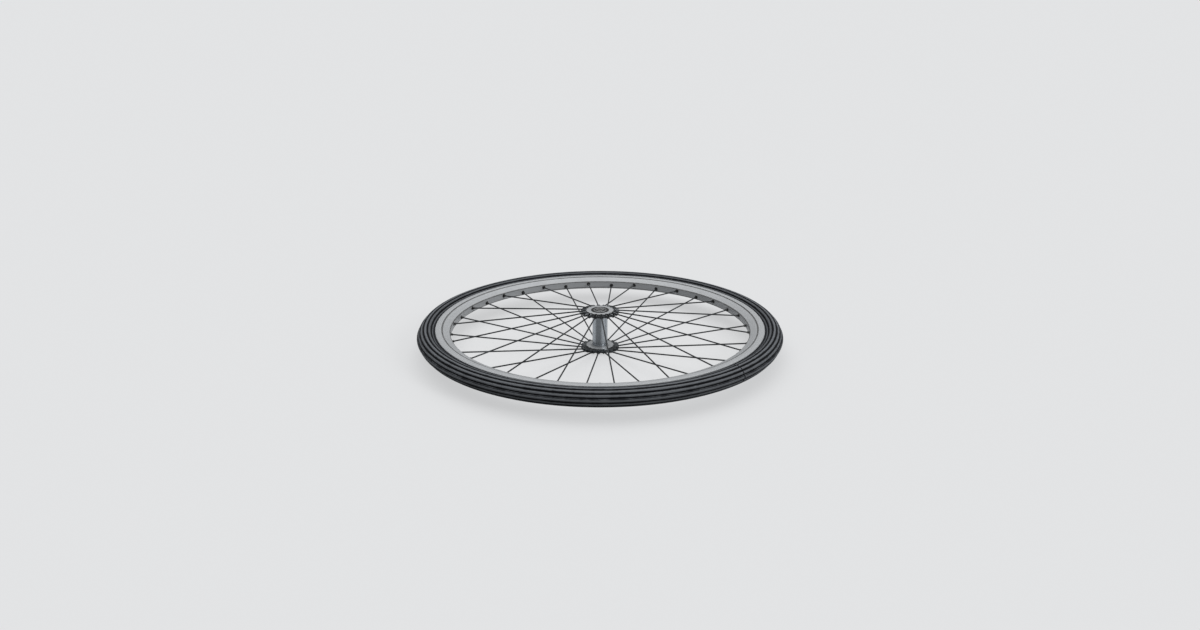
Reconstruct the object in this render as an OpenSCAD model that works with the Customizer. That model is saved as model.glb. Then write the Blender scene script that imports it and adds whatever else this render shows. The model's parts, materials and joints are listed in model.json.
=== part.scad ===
// A bicycle wheel that lies flat: its axle stands along Z, and the origin is the centre of the wheel.
// Thirty-six straight-pull spokes run out radially from two lugged flanges to a double-wall rim.
// Sizes are in millimetres. A section is drawn as [radius, height] and turned about Z.

/* [Rim] */
// Radius of the two shelves that the tyre's beads sit on
bead_seat_r = 311; // [280:0.5:320]
// Height of the side walls above the bead shelves
hook_h = 4; // [3:0.1:6]
// Full width over the braking faces
rim_w = 27; // [25:0.5:34]
// Width over the top edges of the side walls
rim_top_w = 26.2; // [24.8:0.2:33]
// Width of the flat inner face that the spokes pass through
rim_face_w = 14; // [12:0.5:18]
// Depth from the inner face to the top edges
rim_depth = 28.2; // [24:0.2:34]
// Height of each braking face
brake_h = 12; // [10:0.5:15]
// Thickness of the side walls
rim_wall = 1.6; // [1.2:0.1:2]
// Thickness of the inner face
face_wall = 1.8; // [1.4:0.1:2.5]
// Distance of each row of spoke holes from the middle plane
hole_offset = 1.6; // [0:0.1:2.2]

/* [Tyre] */
// Radius of the tyre's round section, over the ribs
section_r = 17.2; // [16.5:0.1:24]
// Radius of each rounded rib
rib_r = 3.6; // [3:0.1:4.5]
// Depth of the grooves between the ribs
groove_depth = 2.4; // [1.5:0.1:3]
// Ribs on each side of the middle rib
side_ribs = 5; // [3:1:5]
// Angle from one rib to the next, seen from the middle of the section
rib_pitch = 27.5; // [26:0.1:28]
// How much further out the middle rib reaches than the others
centre_rib_lift = 1.5; // [0:0.1:2]
// Thickness of the rubber and fabric under the grooves
casing_t = 3; // [2:0.1:4]
// Direction of the join line that crosses the tyre
splice_angle = 325; // [0:1:359]
// Width of the join line
splice_w = 0.9; // [0.4:0.1:1.5]
// Depth of the join line
splice_depth = 0.5; // [0.2:0.1:0.8]

/* [Tube and valve] */
// Wall of the inner tube
tube_wall = 0.9; // [0.6:0.1:1.5]
// Thickness of the rim tape
tape_t = 0.6; // [0.4:0.1:1]
// Direction of the valve
valve_angle = 270; // [0:90:270]
// Radius of the valve's stem
stem_r = 3.9; // [3.5:0.1:4.4]
// How far the capped valve stands out of the rim's inner face
valve_out = 8.2; // [7.5:0.1:30]

/* [Spokes] */
// Spokes on each flange
spokes_per_flange = 18; // [14:2:18]
// Radius of a spoke
spoke_r = 1.3; // [1:0.05:1.4]
// Radius of a spoke's head
spoke_head_r = 2.3; // [2:0.05:2.5]
// Thickness of a spoke's head
spoke_head_t = 1.5; // [1.2:0.1:2]
// Radius of a nipple's body
nipple_r = 2.3; // [2:0.05:2.4]
// How far a nipple stands out of the rim
nipple_out = 4.5; // [3:0.5:8]

/* [Hub] */
// Radius of the straight tube between the flanges
hub_tube_r = 14.6; // [14.2:0.1:16.4]
// Wall of the straight tube
hub_tube_wall = 3.1; // [2:0.1:3.4]
// Distance of each flange's inner face from the middle plane
flange_in_z = 31.5; // [25:0.5:45]
// Thickness of each flange at its flat ring
flange_t = 7.5; // [6.5:0.1:9]
// Radius of the flat ring on each flange
flange_flat_r = 26.4; // [24:0.1:27]
// Radius of each flange's thin web between the lugs
flange_edge_r = 34.5; // [33:0.5:36]
// Thickness of that web
flange_edge_t = 3; // [2:0.1:4]
// Radius at the ends of the spoke lugs
lug_end_r = 36.5; // [35:0.5:38]
// Radius of a lug's round inner end
lug_big_r = 4; // [3.4:0.1:4.2]
// Radius of a lug at its outer end
lug_small_r = 3.3; // [2.8:0.1:3.6]
// Wall round each bearing's seat, in the foot ring where the tube meets a flange
seat_wall = 3.2; // [2.6:0.1:4.5]
// Height of that foot ring
foot_h = 1.2; // [1:0.1:3]

/* [Bearings and axle] */
// Outer radius of a bearing
bearing_r = 14; // [13:0.1:14.5]
// Width of a bearing
bearing_w = 7; // [6.5:0.1:7.2]
// Radius of a ball
ball_r = 2.38; // [2:0.01:2.5]
// Balls in a bearing
ball_n = 8; // [6:1:9]
// Radius of the axle in the bearings
axle_r = 6; // [5.6:0.1:6.4]
// Radius of the axle's shoulders between the bearings
shoulder_r = 8; // [7.2:0.1:8.4]
// Radius of the ring nuts at the axle's ends
collar_r = 8.4; // [7.6:0.1:8.8]
// Thickness of those ring nuts
collar_t = 2.8; // [2.4:0.1:4]
// How far each dust cap reaches out over its flange, past the bearing
cap_lap = 3.2; // [1.5:0.1:5]
// How far the dust caps stand out of the flanges
cap_t = 0.8; // [0.6:0.1:1.2]
// Radius of the threaded hole in each end of the axle
thread_r = 3.4; // [2.5:0.1:3.6]
// Depth of each threaded hole
thread_depth = 22; // [12:1:28]

/* [Hidden] */
$fn = 96;
// Clearances
fit = 0.02;             // between pieces that are pressed or screwed together
seat_gap = 0.1;         // between pieces that lie in each other
ball_gap = 0.07;        // between a ball and its grooves
eps = 0.01;             // how far two cutters lap where they meet
over = 1;               // how far a cutter runs past a face
far = 60;               // reach of the large cutters

// Rim
rim_edge_r = bead_seat_r + hook_h;
rim_in_r = rim_edge_r - rim_depth;
brake_r = rim_edge_r - brake_h;
hook_lip = 0.45;        // how far the lip hooks in over a bead
hook_lip_h = 1.4;       // height of the lip
corner = 0.7;           // broken edges of the rim
well_depth = 2.2;       // the middle channel lies this far under the bead shelves
bed_wall = 1.4;         // wall under the channel
shelf_w = 3.6;          // width of a bead shelf
shelf_slope = 1;        // width of the slope from the channel up to a shelf
wall_spare = 0.15;      // the side walls are this much thicker beside the beads
bead_room = rim_top_w / 2 - rim_wall - wall_spare;   // half width between the side walls
lip_z = bead_room - hook_lip;
well_z = bead_room - shelf_w;
well_r = bead_seat_r - well_depth;

// Tyre
carcass_r = section_r - groove_depth;
neck_z = lip_z - seat_gap;                     // half width of the tyre where it passes the lips
neck_flare = 0.65;                             // how far the sidewall leans out over its neck
neck_top_z = neck_z + neck_flare;
neck_h = 6.9;                                  // height of the sidewall's neck above the rim
section_c = rim_edge_r + neck_h + sqrt(pow(carcass_r, 2) - pow(neck_top_z, 2));
tyre_in_r = carcass_r - casing_t;
neck_tuck = 0.05;                              // the neck's top lies this far inside the casing
bead_w = 3.5;
bead_in_z = neck_z - bead_w;
tyre_r = section_c + section_r + centre_rib_lift;

// Tube, tape and valve
tube_r = tyre_in_r - seat_gap;
tube_neck_z = bead_in_z - seat_gap;
tape_r = well_r + fit;
tube_in_r = tape_r + tape_t + seat_gap;
valve_nut_r = 6.5;
valve_nut_t = 2;
valve_cap_r = 4.6;
valve_taper = 0.3;                             // how much the valve's nut and cap narrow towards the hub
valve_cap_end = 1;                             // thickness of the valve cap's closed end
valve_tip_r = rim_in_r - valve_out;
stem_bore_r = 2.1;
valve_hole_r = stem_r + 0.35;

// Spoke lines: each runs from the axle line at spoke_z0 to its hole in the rim
lug_overlap = 1.6;                             // how far a lug's round end reaches in over the flat ring
lug_raise = 1.1;                               // a lug lies this far outside the flange's middle
lug_mid_r = flange_flat_r - lug_overlap + lug_big_r;
lug_mid_z = flange_in_z + flange_t / 2 + lug_raise;
hole_r = rim_in_r + face_wall / 2;
tilt = atan((lug_mid_z - hole_offset) / (hole_r - lug_mid_r));
spoke_z0 = lug_mid_z + lug_mid_r * tan(tilt);
spoke_step = 360 / spokes_per_flange;
upper_angle = 0.75 * spoke_step;
lower_angle = 0.25 * spoke_step;

// Distances along a spoke line
lug_mid_s = lug_mid_r / cos(tilt);
lug_end_s = lug_end_r / cos(tilt);
rim_face_s = rim_in_r / cos(tilt);
head_seat_out = 1.6;                           // a spoke head's seat lies this far out from a lug's middle
head_seat_s = lug_mid_s + head_seat_out;
slot_gap = 0.15;                               // beside a spoke or its head in a lug's slot
slot_hw = spoke_r + slot_gap;
pocket_hw = spoke_head_r + slot_gap;
nipple_bore_r = spoke_r + fit;
nipple_head_r = 3.4;
nipple_head_h = 2.2;
nipple_grip = 1.5;                             // how far a spoke reaches past its nipple's seat
eyelet_r = 3.9;                                // over the eyelet's rolled edge
eyelet_t = 0.5;
eyelet_bore_r = nipple_r + 0.45;
eyelet_barrel_r = eyelet_bore_r + 0.35;
access_r = 4.6;                                // holes in the tyre bed that let the nipples in
nipple_seat_gap = 0.5;                         // between a nipple's head and its eyelet's barrel
nipple_seat_s = rim_face_s + face_wall + eyelet_t + nipple_seat_gap;

// Hub, bearings and axle
foot_r = bearing_r + seat_wall;
cap_r = bearing_r + cap_lap;
flange_out_z = flange_in_z + flange_t;
flange_mid_z = flange_in_z + flange_t / 2;
web_drop = 1.4;                                // the flat ring's edge falls to the web over this width
cap_depth = 1.4;                               // the bearings lie this far under the flanges' faces
bearing_face_z = flange_out_z - cap_depth;
bearing_in_z = bearing_face_z - bearing_w;
bearing_z = bearing_face_z - bearing_w / 2;
end_z = bearing_face_z + collar_t;
ball_path_r = (bearing_r + axle_r) / 2;
groove_r = ball_r + ball_gap;
race_gap = 1.4;                                // half the gap between the two races
cage_hw = 0.8;
cage_back = groove_r + 0.35;                   // the cage is closed above the balls and open below them
cage_front = 1.2;
seal_t = 0.5;
seal_gap = 0.15;
cap_gap = 0.4;                                 // between a dust cap and the ring nut that turns in it

function two_digits(i) = str(i < 10 ? "0" : "", i);
function spoke_name(row, i) = str("spoke_", row, "_", two_digits(i));

// Places its children along a spoke line of the upper (1) or lower (-1) flange, with X outwards.
module on_spoke_line(side, angle) {
    rotate([0, 0, angle])
        mirror([0, 0, side < 0 ? 1 : 0])
            translate([0, 0, spoke_z0])
                rotate([0, tilt, 0])
                    children();
}

// Repeats its children on every spoke line.
module on_all_spoke_lines() {
    for (i = [0 : spokes_per_flange - 1]) {
        on_spoke_line(1, upper_angle + i * spoke_step) children();
        on_spoke_line(-1, lower_angle + i * spoke_step) children();
    }
}

// Repeats its children at every hole of the rim, pointing straight out.
module on_rim_holes() {
    for (i = [0 : spokes_per_flange - 1]) {
        rotate([0, 0, upper_angle + i * spoke_step]) translate([0, 0, hole_offset]) children();
        rotate([0, 0, lower_angle + i * spoke_step]) translate([0, 0, -hole_offset]) children();
    }
}

// A cylinder along X, from x0 to x1.
module rod(r1, r2, x0, x1) {
    translate([x0, 0, 0]) rotate([0, 90, 0]) cylinder(r1 = r1, r2 = r2, h = x1 - x0);
}

// Mirrors a half section about the middle plane and keeps both halves.
module both_sides() {
    children();
    mirror([0, 1]) children();
}

// Tyre, inner tube and rim tape

// The tyre's outline, taken in by a depth.
module tyre_outline(depth) {
    translate([section_c, 0]) {
        circle(r = carcass_r - depth);
        for (i = [-side_ribs : side_ribs])
            rotate(i * rib_pitch)
                translate([section_r - rib_r + (i == 0 ? centre_rib_lift : 0), 0]) circle(r = rib_r - depth);
    }
}

// The round casing with its ribs, open towards the rim.
module casing_section() {
    difference() {
        tyre_outline(0);
        translate([section_c, 0]) circle(r = tyre_in_r);
        translate([bead_seat_r, -bead_in_z]) square([section_c - bead_seat_r, 2 * bead_in_z]);
    }
}

// One sidewall's lower part: its bead, and its neck between the rim's lips.
module bead_half() {
    toe_r = bead_seat_r + seat_gap;
    bend_r = rim_edge_r + 0.5;
    top_r = rim_edge_r + neck_h;
    difference() {
        polygon([
            [toe_r, bead_in_z],
            [toe_r, neck_z],
            [bend_r, neck_z],
            [top_r, neck_top_z - neck_tuck],
            [top_r, bead_in_z]
        ]);
        translate([section_c, 0]) circle(r = tyre_in_r);
    }
}

module tyre() {
    splice_turn = splice_w / tyre_r * 180 / PI;
    color([0.33, 0.35, 0.37])
        difference() {
            union() {
                rotate_extrude() casing_section();
                rotate_extrude() both_sides() bead_half();
            }
            rotate_extrude(start = splice_angle, angle = splice_turn)
                difference() {
                    translate([section_c, 0]) circle(r = section_r + centre_rib_lift + over);
                    tyre_outline(splice_depth);
                    translate([0, -far]) square([rim_edge_r + neck_h, 2 * far]);
                }
        }
}

module tube_section(inset) {
    translate([section_c, 0]) circle(r = tube_r - inset);
    translate([tube_in_r + inset, inset - tube_neck_z])
        square([section_c - tube_in_r - inset, 2 * (tube_neck_z - inset)]);
}

module inner_tube() {
    color([0.16, 0.16, 0.17])
        difference() {
            rotate_extrude() difference() { tube_section(0); tube_section(tube_wall); }
            rotate([0, 0, valve_angle]) rod(stem_r + fit, stem_r + fit, tube_in_r - over, tube_in_r + 2 * over);
        }
}

module rim_tape() {
    color([0.75, 0.2, 0.16])
        difference() {
            rotate_extrude() translate([tape_r, -well_z + seat_gap]) square([tape_t, 2 * (well_z - seat_gap)]);
            rotate([0, 0, valve_angle]) rod(valve_hole_r, valve_hole_r, tape_r - over, tape_r + tape_t + over);
        }
}

// Rim

module rim_outer_half() {
    polygon([
        [rim_in_r, 0],
        [rim_in_r, rim_face_w / 2 - corner],
        [rim_in_r + corner, rim_face_w / 2],
        [brake_r, rim_w / 2],
        [rim_edge_r - corner, rim_top_w / 2],
        [rim_edge_r, rim_top_w / 2 - corner],
        [rim_edge_r, 0]
    ]);
}

// The space that the beads and the rim tape lie in.
module rim_bed_half() {
    polygon([
        [well_r, 0],
        [well_r, well_z],
        [bead_seat_r, well_z + shelf_slope],
        [bead_seat_r, bead_room],
        [rim_edge_r - hook_lip_h - hook_lip, bead_room],
        [rim_edge_r - hook_lip_h, lip_z],
        [rim_edge_r + over, lip_z],
        [rim_edge_r + over, 0]
    ]);
}

// The hollow box under the bed.
module rim_box_half() {
    flank = (rim_w - rim_face_w) / 2 / (brake_r - rim_in_r);
    wall_z = rim_wall * sqrt(1 + flank * flank);
    polygon([
        [rim_in_r + face_wall, 0],
        [rim_in_r + face_wall, rim_face_w / 2 + flank * face_wall - wall_z],
        [brake_r, rim_w / 2 - wall_z],
        [well_r - bed_wall, rim_top_w / 2 - rim_wall],
        [well_r - bed_wall, 0]
    ]);
}

module rim() {
    color([0.68, 0.7, 0.72])
        difference() {
            rotate_extrude()
                both_sides() difference() {
                    rim_outer_half();
                    rim_bed_half();
                    rim_box_half();
                }
            on_rim_holes() {
                rod(eyelet_barrel_r + fit, eyelet_barrel_r + fit, rim_in_r - over, rim_in_r + face_wall + over);
                rod(access_r, access_r, well_r - bed_wall - over, well_r + over);
            }
            rotate([0, 0, valve_angle]) rod(valve_hole_r, valve_hole_r, rim_in_r - over, well_r + over);
        }
}

module rim_eyelets() {
    color([0.3, 0.31, 0.33])
        on_rim_holes() difference() {
            union() {
                rod(eyelet_r - eyelet_t, eyelet_r, rim_in_r - eyelet_t, rim_in_r - 2 * fit);
                rod(eyelet_barrel_r, eyelet_barrel_r, rim_in_r - eyelet_t, rim_in_r + face_wall + eyelet_t);
            }
            rod(eyelet_bore_r, eyelet_bore_r, rim_in_r - over, rim_in_r + face_wall + over);
        }
}

// Spokes

module spoke_nipples() {
    flats = 0.8 * nipple_r;
    round_s = rim_face_s - 1.2;
    head_s = nipple_seat_s + nipple_head_r - nipple_r;
    color([0.72, 0.72, 0.7])
        on_all_spoke_lines() difference() {
            union() {
                rod(nipple_r, nipple_r, round_s, nipple_seat_s);
                intersection() {
                    rod(nipple_r, nipple_r, rim_face_s - nipple_out, round_s + eps);
                    translate([rim_face_s - far, -flats, -flats]) cube([far, 2 * flats, 2 * flats]);
                }
                rod(nipple_r, nipple_head_r, nipple_seat_s, head_s);
                rod(nipple_head_r, nipple_head_r, head_s, head_s + nipple_head_h);
            }
            rod(nipple_bore_r, nipple_bore_r, rim_face_s - nipple_out - over, head_s + nipple_head_h + over);
        }
}

module spoke(side, angle) {
    neck = spoke_head_r - spoke_r;
    color([0.45, 0.47, 0.5])
        on_spoke_line(side, angle) {
            rod(spoke_head_r, spoke_head_r, head_seat_s - neck - spoke_head_t, head_seat_s - neck);
            rod(spoke_head_r, spoke_r, head_seat_s - neck, head_seat_s);
            rod(spoke_r, spoke_r, head_seat_s, nipple_seat_s + nipple_grip);
        }
}

// Hub

module flange_section() {
    core_r = hub_tube_r - hub_tube_wall / 3;
    web_r = flange_flat_r + web_drop;
    web_hw = flange_edge_t / 2;
    polygon([
        [core_r, flange_in_z - foot_h],
        [foot_r, flange_in_z - foot_h],
        [foot_r, flange_in_z],
        [flange_flat_r, flange_in_z],
        [web_r, flange_mid_z - web_hw],
        [flange_edge_r, flange_mid_z - web_hw],
        [flange_edge_r, flange_mid_z + web_hw],
        [web_r, flange_mid_z + web_hw],
        [flange_flat_r, flange_out_z],
        [core_r, flange_out_z]
    ]);
}

// A lug: a barrel on the spoke line, with a round inner end.
module lug() {
    rotate([0, 90, 0]) rotate_extrude()
        difference() {
            union() {
                translate([0, lug_mid_s]) circle(r = lug_big_r);
                polygon([[0, lug_mid_s], [lug_big_r, lug_mid_s], [lug_small_r, lug_end_s], [0, lug_end_s]]);
            }
            translate([-far, 0]) square([far, 2 * far]);
        }
}

// Half the outline of a spoke's slot, from the pocket for its head out to the lug's end.
module slot_half() {
    neck_s = head_seat_s - spoke_head_r + spoke_r;
    polygon([
        [0, neck_s - spoke_head_t - slot_gap],
        [pocket_hw, neck_s - spoke_head_t - slot_gap],
        [pocket_hw, neck_s],
        [spoke_head_r + fit, neck_s],
        [slot_hw, head_seat_s - slot_gap + fit],
        [slot_hw, lug_end_s + over],
        [0, lug_end_s + over]
    ]);
}

// The slot that a spoke drops into from the flange's outer side.
module lug_slot() {
    rotate([0, 90, 0]) rotate_extrude() slot_half();
    for (half = [0, 1])
        mirror([0, half, 0]) linear_extrude(far) mirror([1, -1]) slot_half();
}

module hub_half() {
    difference() {
        union() {
            rotate_extrude() flange_section();
            for (i = [0 : spokes_per_flange - 1])
                rotate([0, 0, i * spoke_step]) translate([0, 0, spoke_z0]) rotate([0, tilt, 0]) lug();
        }
        for (i = [0 : spokes_per_flange - 1])
            rotate([0, 0, i * spoke_step]) translate([0, 0, spoke_z0]) rotate([0, tilt, 0]) lug_slot();
    }
}

module hub_shell() {
    color([0.6, 0.62, 0.64])
        difference() {
            union() {
                cylinder(r = hub_tube_r, h = 2 * flange_mid_z, center = true);
                rotate([0, 0, upper_angle]) hub_half();
                rotate([0, 0, lower_angle]) mirror([0, 0, 1]) hub_half();
            }
            cylinder(r = hub_tube_r - hub_tube_wall, h = 2 * (flange_out_z + over), center = true);
            for (side = [-1, 1])
                mirror([0, 0, side < 0 ? 1 : 0])
                    translate([0, 0, bearing_in_z]) cylinder(r = bearing_r + fit, h = bearing_w + far);
        }
}

// Bearings and dust caps

module bearing_at(side) {
    mirror([0, 0, side < 0 ? 1 : 0]) translate([0, 0, bearing_z]) children();
}

module bearing_outer_race(side) {
    land_r = ball_path_r + race_gap;
    color([0.62, 0.63, 0.65])
        bearing_at(side) rotate_extrude() difference() {
            translate([land_r, -bearing_w / 2]) square([bearing_r - land_r, bearing_w]);
            translate([ball_path_r, 0]) circle(r = groove_r);
        }
}

module bearing_inner_race(side) {
    bore_r = axle_r + fit;
    color([0.62, 0.63, 0.65])
        bearing_at(side) rotate_extrude() difference() {
            translate([bore_r, -bearing_w / 2]) square([ball_path_r - race_gap - bore_r, bearing_w]);
            translate([ball_path_r, 0]) circle(r = groove_r);
        }
}

module bearing_balls(side) {
    color([0.8, 0.8, 0.82])
        bearing_at(side)
            for (i = [0 : ball_n - 1])
                rotate([0, 0, i * 360 / ball_n]) translate([ball_path_r, 0, 0]) sphere(r = ball_r);
}

module bearing_cage(side) {
    color([0.72, 0.62, 0.4])
        bearing_at(side) difference() {
            rotate_extrude()
                translate([ball_path_r - cage_hw, -cage_front]) square([2 * cage_hw, cage_front + cage_back]);
            for (i = [0 : ball_n - 1])
                rotate([0, 0, i * 360 / ball_n]) translate([ball_path_r, 0, 0]) sphere(r = groove_r);
        }
}

module bearing_seals() {
    in_r = ball_path_r - race_gap + seal_gap;
    out_r = ball_path_r + race_gap - fit;
    color([0.12, 0.12, 0.13])
        for (side = [-1, 1])
            bearing_at(side) rotate_extrude() both_sides()
                translate([in_r, bearing_w / 2 - seal_t - fit]) square([out_r - in_r, seal_t]);
}

// A dished cap: its plug fits in the bore over the bearing, and its rim lies on the flange.
module dust_cap(side) {
    plug_r = bearing_r;
    under_z = flange_out_z + fit;
    top_z = flange_out_z + cap_t;
    dish_z = top_z - 0.6 * cap_t;
    chamfer = 0.35;
    dish_r = plug_r - 1.6;
    color([0.24, 0.25, 0.27])
        mirror([0, 0, side < 0 ? 1 : 0]) rotate_extrude() polygon([
            [collar_r + cap_gap, bearing_face_z + seat_gap],
            [plug_r, bearing_face_z + seat_gap],
            [plug_r, under_z],
            [cap_r, under_z],
            [cap_r, top_z - chamfer],
            [cap_r - chamfer, top_z],
            [plug_r - chamfer, top_z],
            [dish_r, dish_z],
            [collar_r + cap_gap, dish_z]
        ]);
}

// Axle

module thread_hole(side) {
    tip = thread_r / tan(59);
    mirror([0, 0, side < 0 ? 1 : 0]) {
        translate([0, 0, end_z - thread_depth]) cylinder(r = thread_r, h = thread_depth + over);
        translate([0, 0, end_z - thread_depth - tip]) cylinder(r1 = 0, r2 = thread_r, h = tip + eps);
    }
}

module axle() {
    chamfer = 0.4;
    color([0.5, 0.51, 0.53])
        difference() {
            rotate_extrude() polygon([
                [0, -end_z],
                [axle_r - chamfer, -end_z],
                [axle_r, chamfer - end_z],
                [axle_r, -bearing_in_z],
                [shoulder_r, -bearing_in_z],
                [shoulder_r, bearing_in_z],
                [axle_r, bearing_in_z],
                [axle_r, end_z - chamfer],
                [axle_r - chamfer, end_z],
                [0, end_z]
            ]);
            thread_hole(1);
            thread_hole(-1);
        }
}

module axle_ring_nut(side) {
    chamfer = 0.4;
    slot_w = 2;
    slot_depth = 1;
    color([0.42, 0.43, 0.45])
        mirror([0, 0, side < 0 ? 1 : 0]) difference() {
            rotate_extrude() polygon([
                [axle_r + fit, bearing_face_z],
                [collar_r, bearing_face_z],
                [collar_r, end_z - chamfer],
                [collar_r - chamfer, end_z],
                [axle_r + fit, end_z]
            ]);
            for (i = [0 : 3])
                rotate([0, 0, 45 + 90 * i])
                    translate([collar_r - slot_depth, -slot_w / 2, bearing_face_z - over]) cube([far, slot_w, far]);
        }
}

// Valve

module on_valve() {
    rotate([0, 0, valve_angle]) children();
}

module valve_stem() {
    stem_end = valve_tip_r + valve_cap_end + 0.3;
    foot_in = tube_in_r + tube_wall + fit;
    foot_out = foot_in + 1;
    foot_r = stem_r + 2;
    color([0.7, 0.6, 0.35])
        on_valve() difference() {
            union() {
                rod(stem_r, stem_r, stem_end, foot_out);
                rod(foot_r, foot_r, foot_in, foot_out);
            }
            rod(stem_bore_r, stem_bore_r, valve_tip_r, foot_out + over);
        }
}

module valve_nut() {
    color([0.75, 0.75, 0.73])
        on_valve() difference() {
            rod(valve_nut_r - valve_taper, valve_nut_r, rim_in_r - valve_nut_t - fit, rim_in_r - seat_gap);
            rod(stem_r + fit, stem_r + fit, rim_in_r - valve_nut_t - over, rim_in_r + over);
        }
}

module valve_cap() {
    top = rim_in_r - valve_nut_t - fit - seat_gap;
    color([0.1, 0.1, 0.11])
        on_valve() difference() {
            rod(valve_cap_r - valve_taper, valve_cap_r, valve_tip_r, top);
            rod(stem_r + fit, stem_r + fit, valve_tip_r + valve_cap_end, top + over);
        }
}

tyre();
inner_tube();
rim_tape();
rim();
rim_eyelets();
spoke_nipples();
valve_stem();
valve_nut();
valve_cap();
hub_shell();
dust_cap(1);  // dust_cap_upper
dust_cap(-1);  // dust_cap_lower
axle();
axle_ring_nut(1);  // axle_ring_nut_upper
axle_ring_nut(-1);  // axle_ring_nut_lower
bearing_outer_race(1);  // bearing_outer_race_upper
bearing_inner_race(1);  // bearing_inner_race_upper
bearing_balls(1);  // bearing_balls_upper
bearing_cage(1);  // bearing_cage_upper
bearing_seals();
bearing_outer_race(-1);  // bearing_outer_race_lower
bearing_inner_race(-1);  // bearing_inner_race_lower
bearing_balls(-1);  // bearing_balls_lower
bearing_cage(-1);  // bearing_cage_lower
for (i = [1 : spokes_per_flange]) {
    turn = (i - 1) * spoke_step;
    spoke(1, upper_angle + turn);
    spoke(-1, lower_angle + turn);
}
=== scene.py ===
import bpy
import bmesh
import json
import math
from mathutils import Matrix, Vector


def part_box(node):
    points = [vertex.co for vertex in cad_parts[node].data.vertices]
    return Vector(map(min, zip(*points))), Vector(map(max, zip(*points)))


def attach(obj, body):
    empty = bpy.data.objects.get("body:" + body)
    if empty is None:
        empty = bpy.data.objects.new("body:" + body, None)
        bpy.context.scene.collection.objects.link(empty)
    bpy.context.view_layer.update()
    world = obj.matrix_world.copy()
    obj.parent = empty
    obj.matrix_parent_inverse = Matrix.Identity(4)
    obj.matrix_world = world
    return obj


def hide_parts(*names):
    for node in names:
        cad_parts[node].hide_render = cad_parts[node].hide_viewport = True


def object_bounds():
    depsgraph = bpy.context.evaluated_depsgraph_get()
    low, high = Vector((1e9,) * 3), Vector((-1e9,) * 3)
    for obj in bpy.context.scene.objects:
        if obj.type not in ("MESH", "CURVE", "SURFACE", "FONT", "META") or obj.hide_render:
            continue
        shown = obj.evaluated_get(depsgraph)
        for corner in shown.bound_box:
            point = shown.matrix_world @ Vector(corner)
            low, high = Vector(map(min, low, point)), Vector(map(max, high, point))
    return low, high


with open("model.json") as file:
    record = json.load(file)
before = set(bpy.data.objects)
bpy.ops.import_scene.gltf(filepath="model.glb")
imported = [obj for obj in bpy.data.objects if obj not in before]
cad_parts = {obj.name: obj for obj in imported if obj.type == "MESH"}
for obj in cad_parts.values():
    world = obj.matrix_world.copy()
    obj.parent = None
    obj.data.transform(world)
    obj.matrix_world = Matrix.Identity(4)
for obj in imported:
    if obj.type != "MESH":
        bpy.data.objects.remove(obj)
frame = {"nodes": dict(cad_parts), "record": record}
cadBox = [list(corner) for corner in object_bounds()]
nodes = frame["nodes"]
mm = 0.001
fullTurn = 2 * math.pi
print("frame loaded,", len(nodes), "nodes")


# camera, floor and light

view = {"elevation": 19.8, "distance": 2.113, "lens": 32.78, "aimUp": 0.737}

cameraData = bpy.data.cameras.new("camera")
cameraData.sensor_width = 36
cameraData.lens = view["lens"]
cameraData.clip_end = 200
camera = bpy.data.objects.new("camera", cameraData)
bpy.context.scene.collection.objects.link(camera)
elevation = math.radians(view["elevation"])
camera.location = (0, -view["distance"] * math.cos(elevation), view["distance"] * math.sin(elevation))
camera.rotation_euler = (math.radians(90 - view["elevation"] + view["aimUp"]), 0, 0)
bpy.context.scene.camera = camera
bpy.context.scene.view_settings.view_transform = "Standard"


# small helpers for building node trees
def newMaterial(name):
    material = bpy.data.materials.new(name)
    material.use_nodes = True
    tree = material.node_tree
    return material, tree, tree.nodes["Principled BSDF"]


def addNode(tree, kind, settings=None, **inputs):
    node = tree.nodes.new("ShaderNode" + kind)
    for key, value in (settings or {}).items():
        setattr(node, key, value)
    for key, value in inputs.items():
        plug(tree, value, node.inputs[key.replace("_", " ")])
    return node


def plug(tree, value, socket):
    if isinstance(value, bpy.types.NodeSocket):
        tree.links.new(value, socket)
    elif isinstance(value, bpy.types.Node):
        tree.links.new(value.outputs[0], socket)
    else:
        socket.default_value = value


def maths(tree, operation, first, second=0.0, clamp=False):
    node = addNode(tree, "Math", {"operation": operation, "use_clamp": clamp})
    plug(tree, first, node.inputs[0])
    plug(tree, second, node.inputs[1])
    return node.outputs[0]


# 0 below low, 1 above high, smooth between
def ramp(tree, value, low, high, outLow=0.0, outHigh=1.0):
    node = addNode(tree, "MapRange", {"interpolation_type": "SMOOTHSTEP"})
    for place, item in enumerate((value, low, high, outLow, outHigh)):
        plug(tree, item, node.inputs[place])
    return node.outputs[0]


def mixColour(tree, factor, first, second, blend="MIX"):
    node = addNode(tree, "Mix", {"data_type": "RGBA", "blend_type": blend})
    plug(tree, factor, node.inputs["Factor"])
    plug(tree, first, node.inputs[6])
    plug(tree, second, node.inputs[7])
    return node.outputs[2]


def grey(value, warm=0.0):
    return (value * (1 + warm), value, value * (1 - warm), 1)


# floor: pale and wide, it keeps a faint shadow

floorLook = {
    "colour": (0.745, 0.752, 0.761, 1), "bounce": (0.2, 0.205, 0.21, 1), "radius": 60, "under": 0.2,
    "plainShare": 0.72,
    "shade": {"from": -155, "to": -68, "soft": 14, "amount": 0.8},   # degrees round the hub
    "line": {"at": 2, "half": 9, "amount": 0.65},
}

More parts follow.
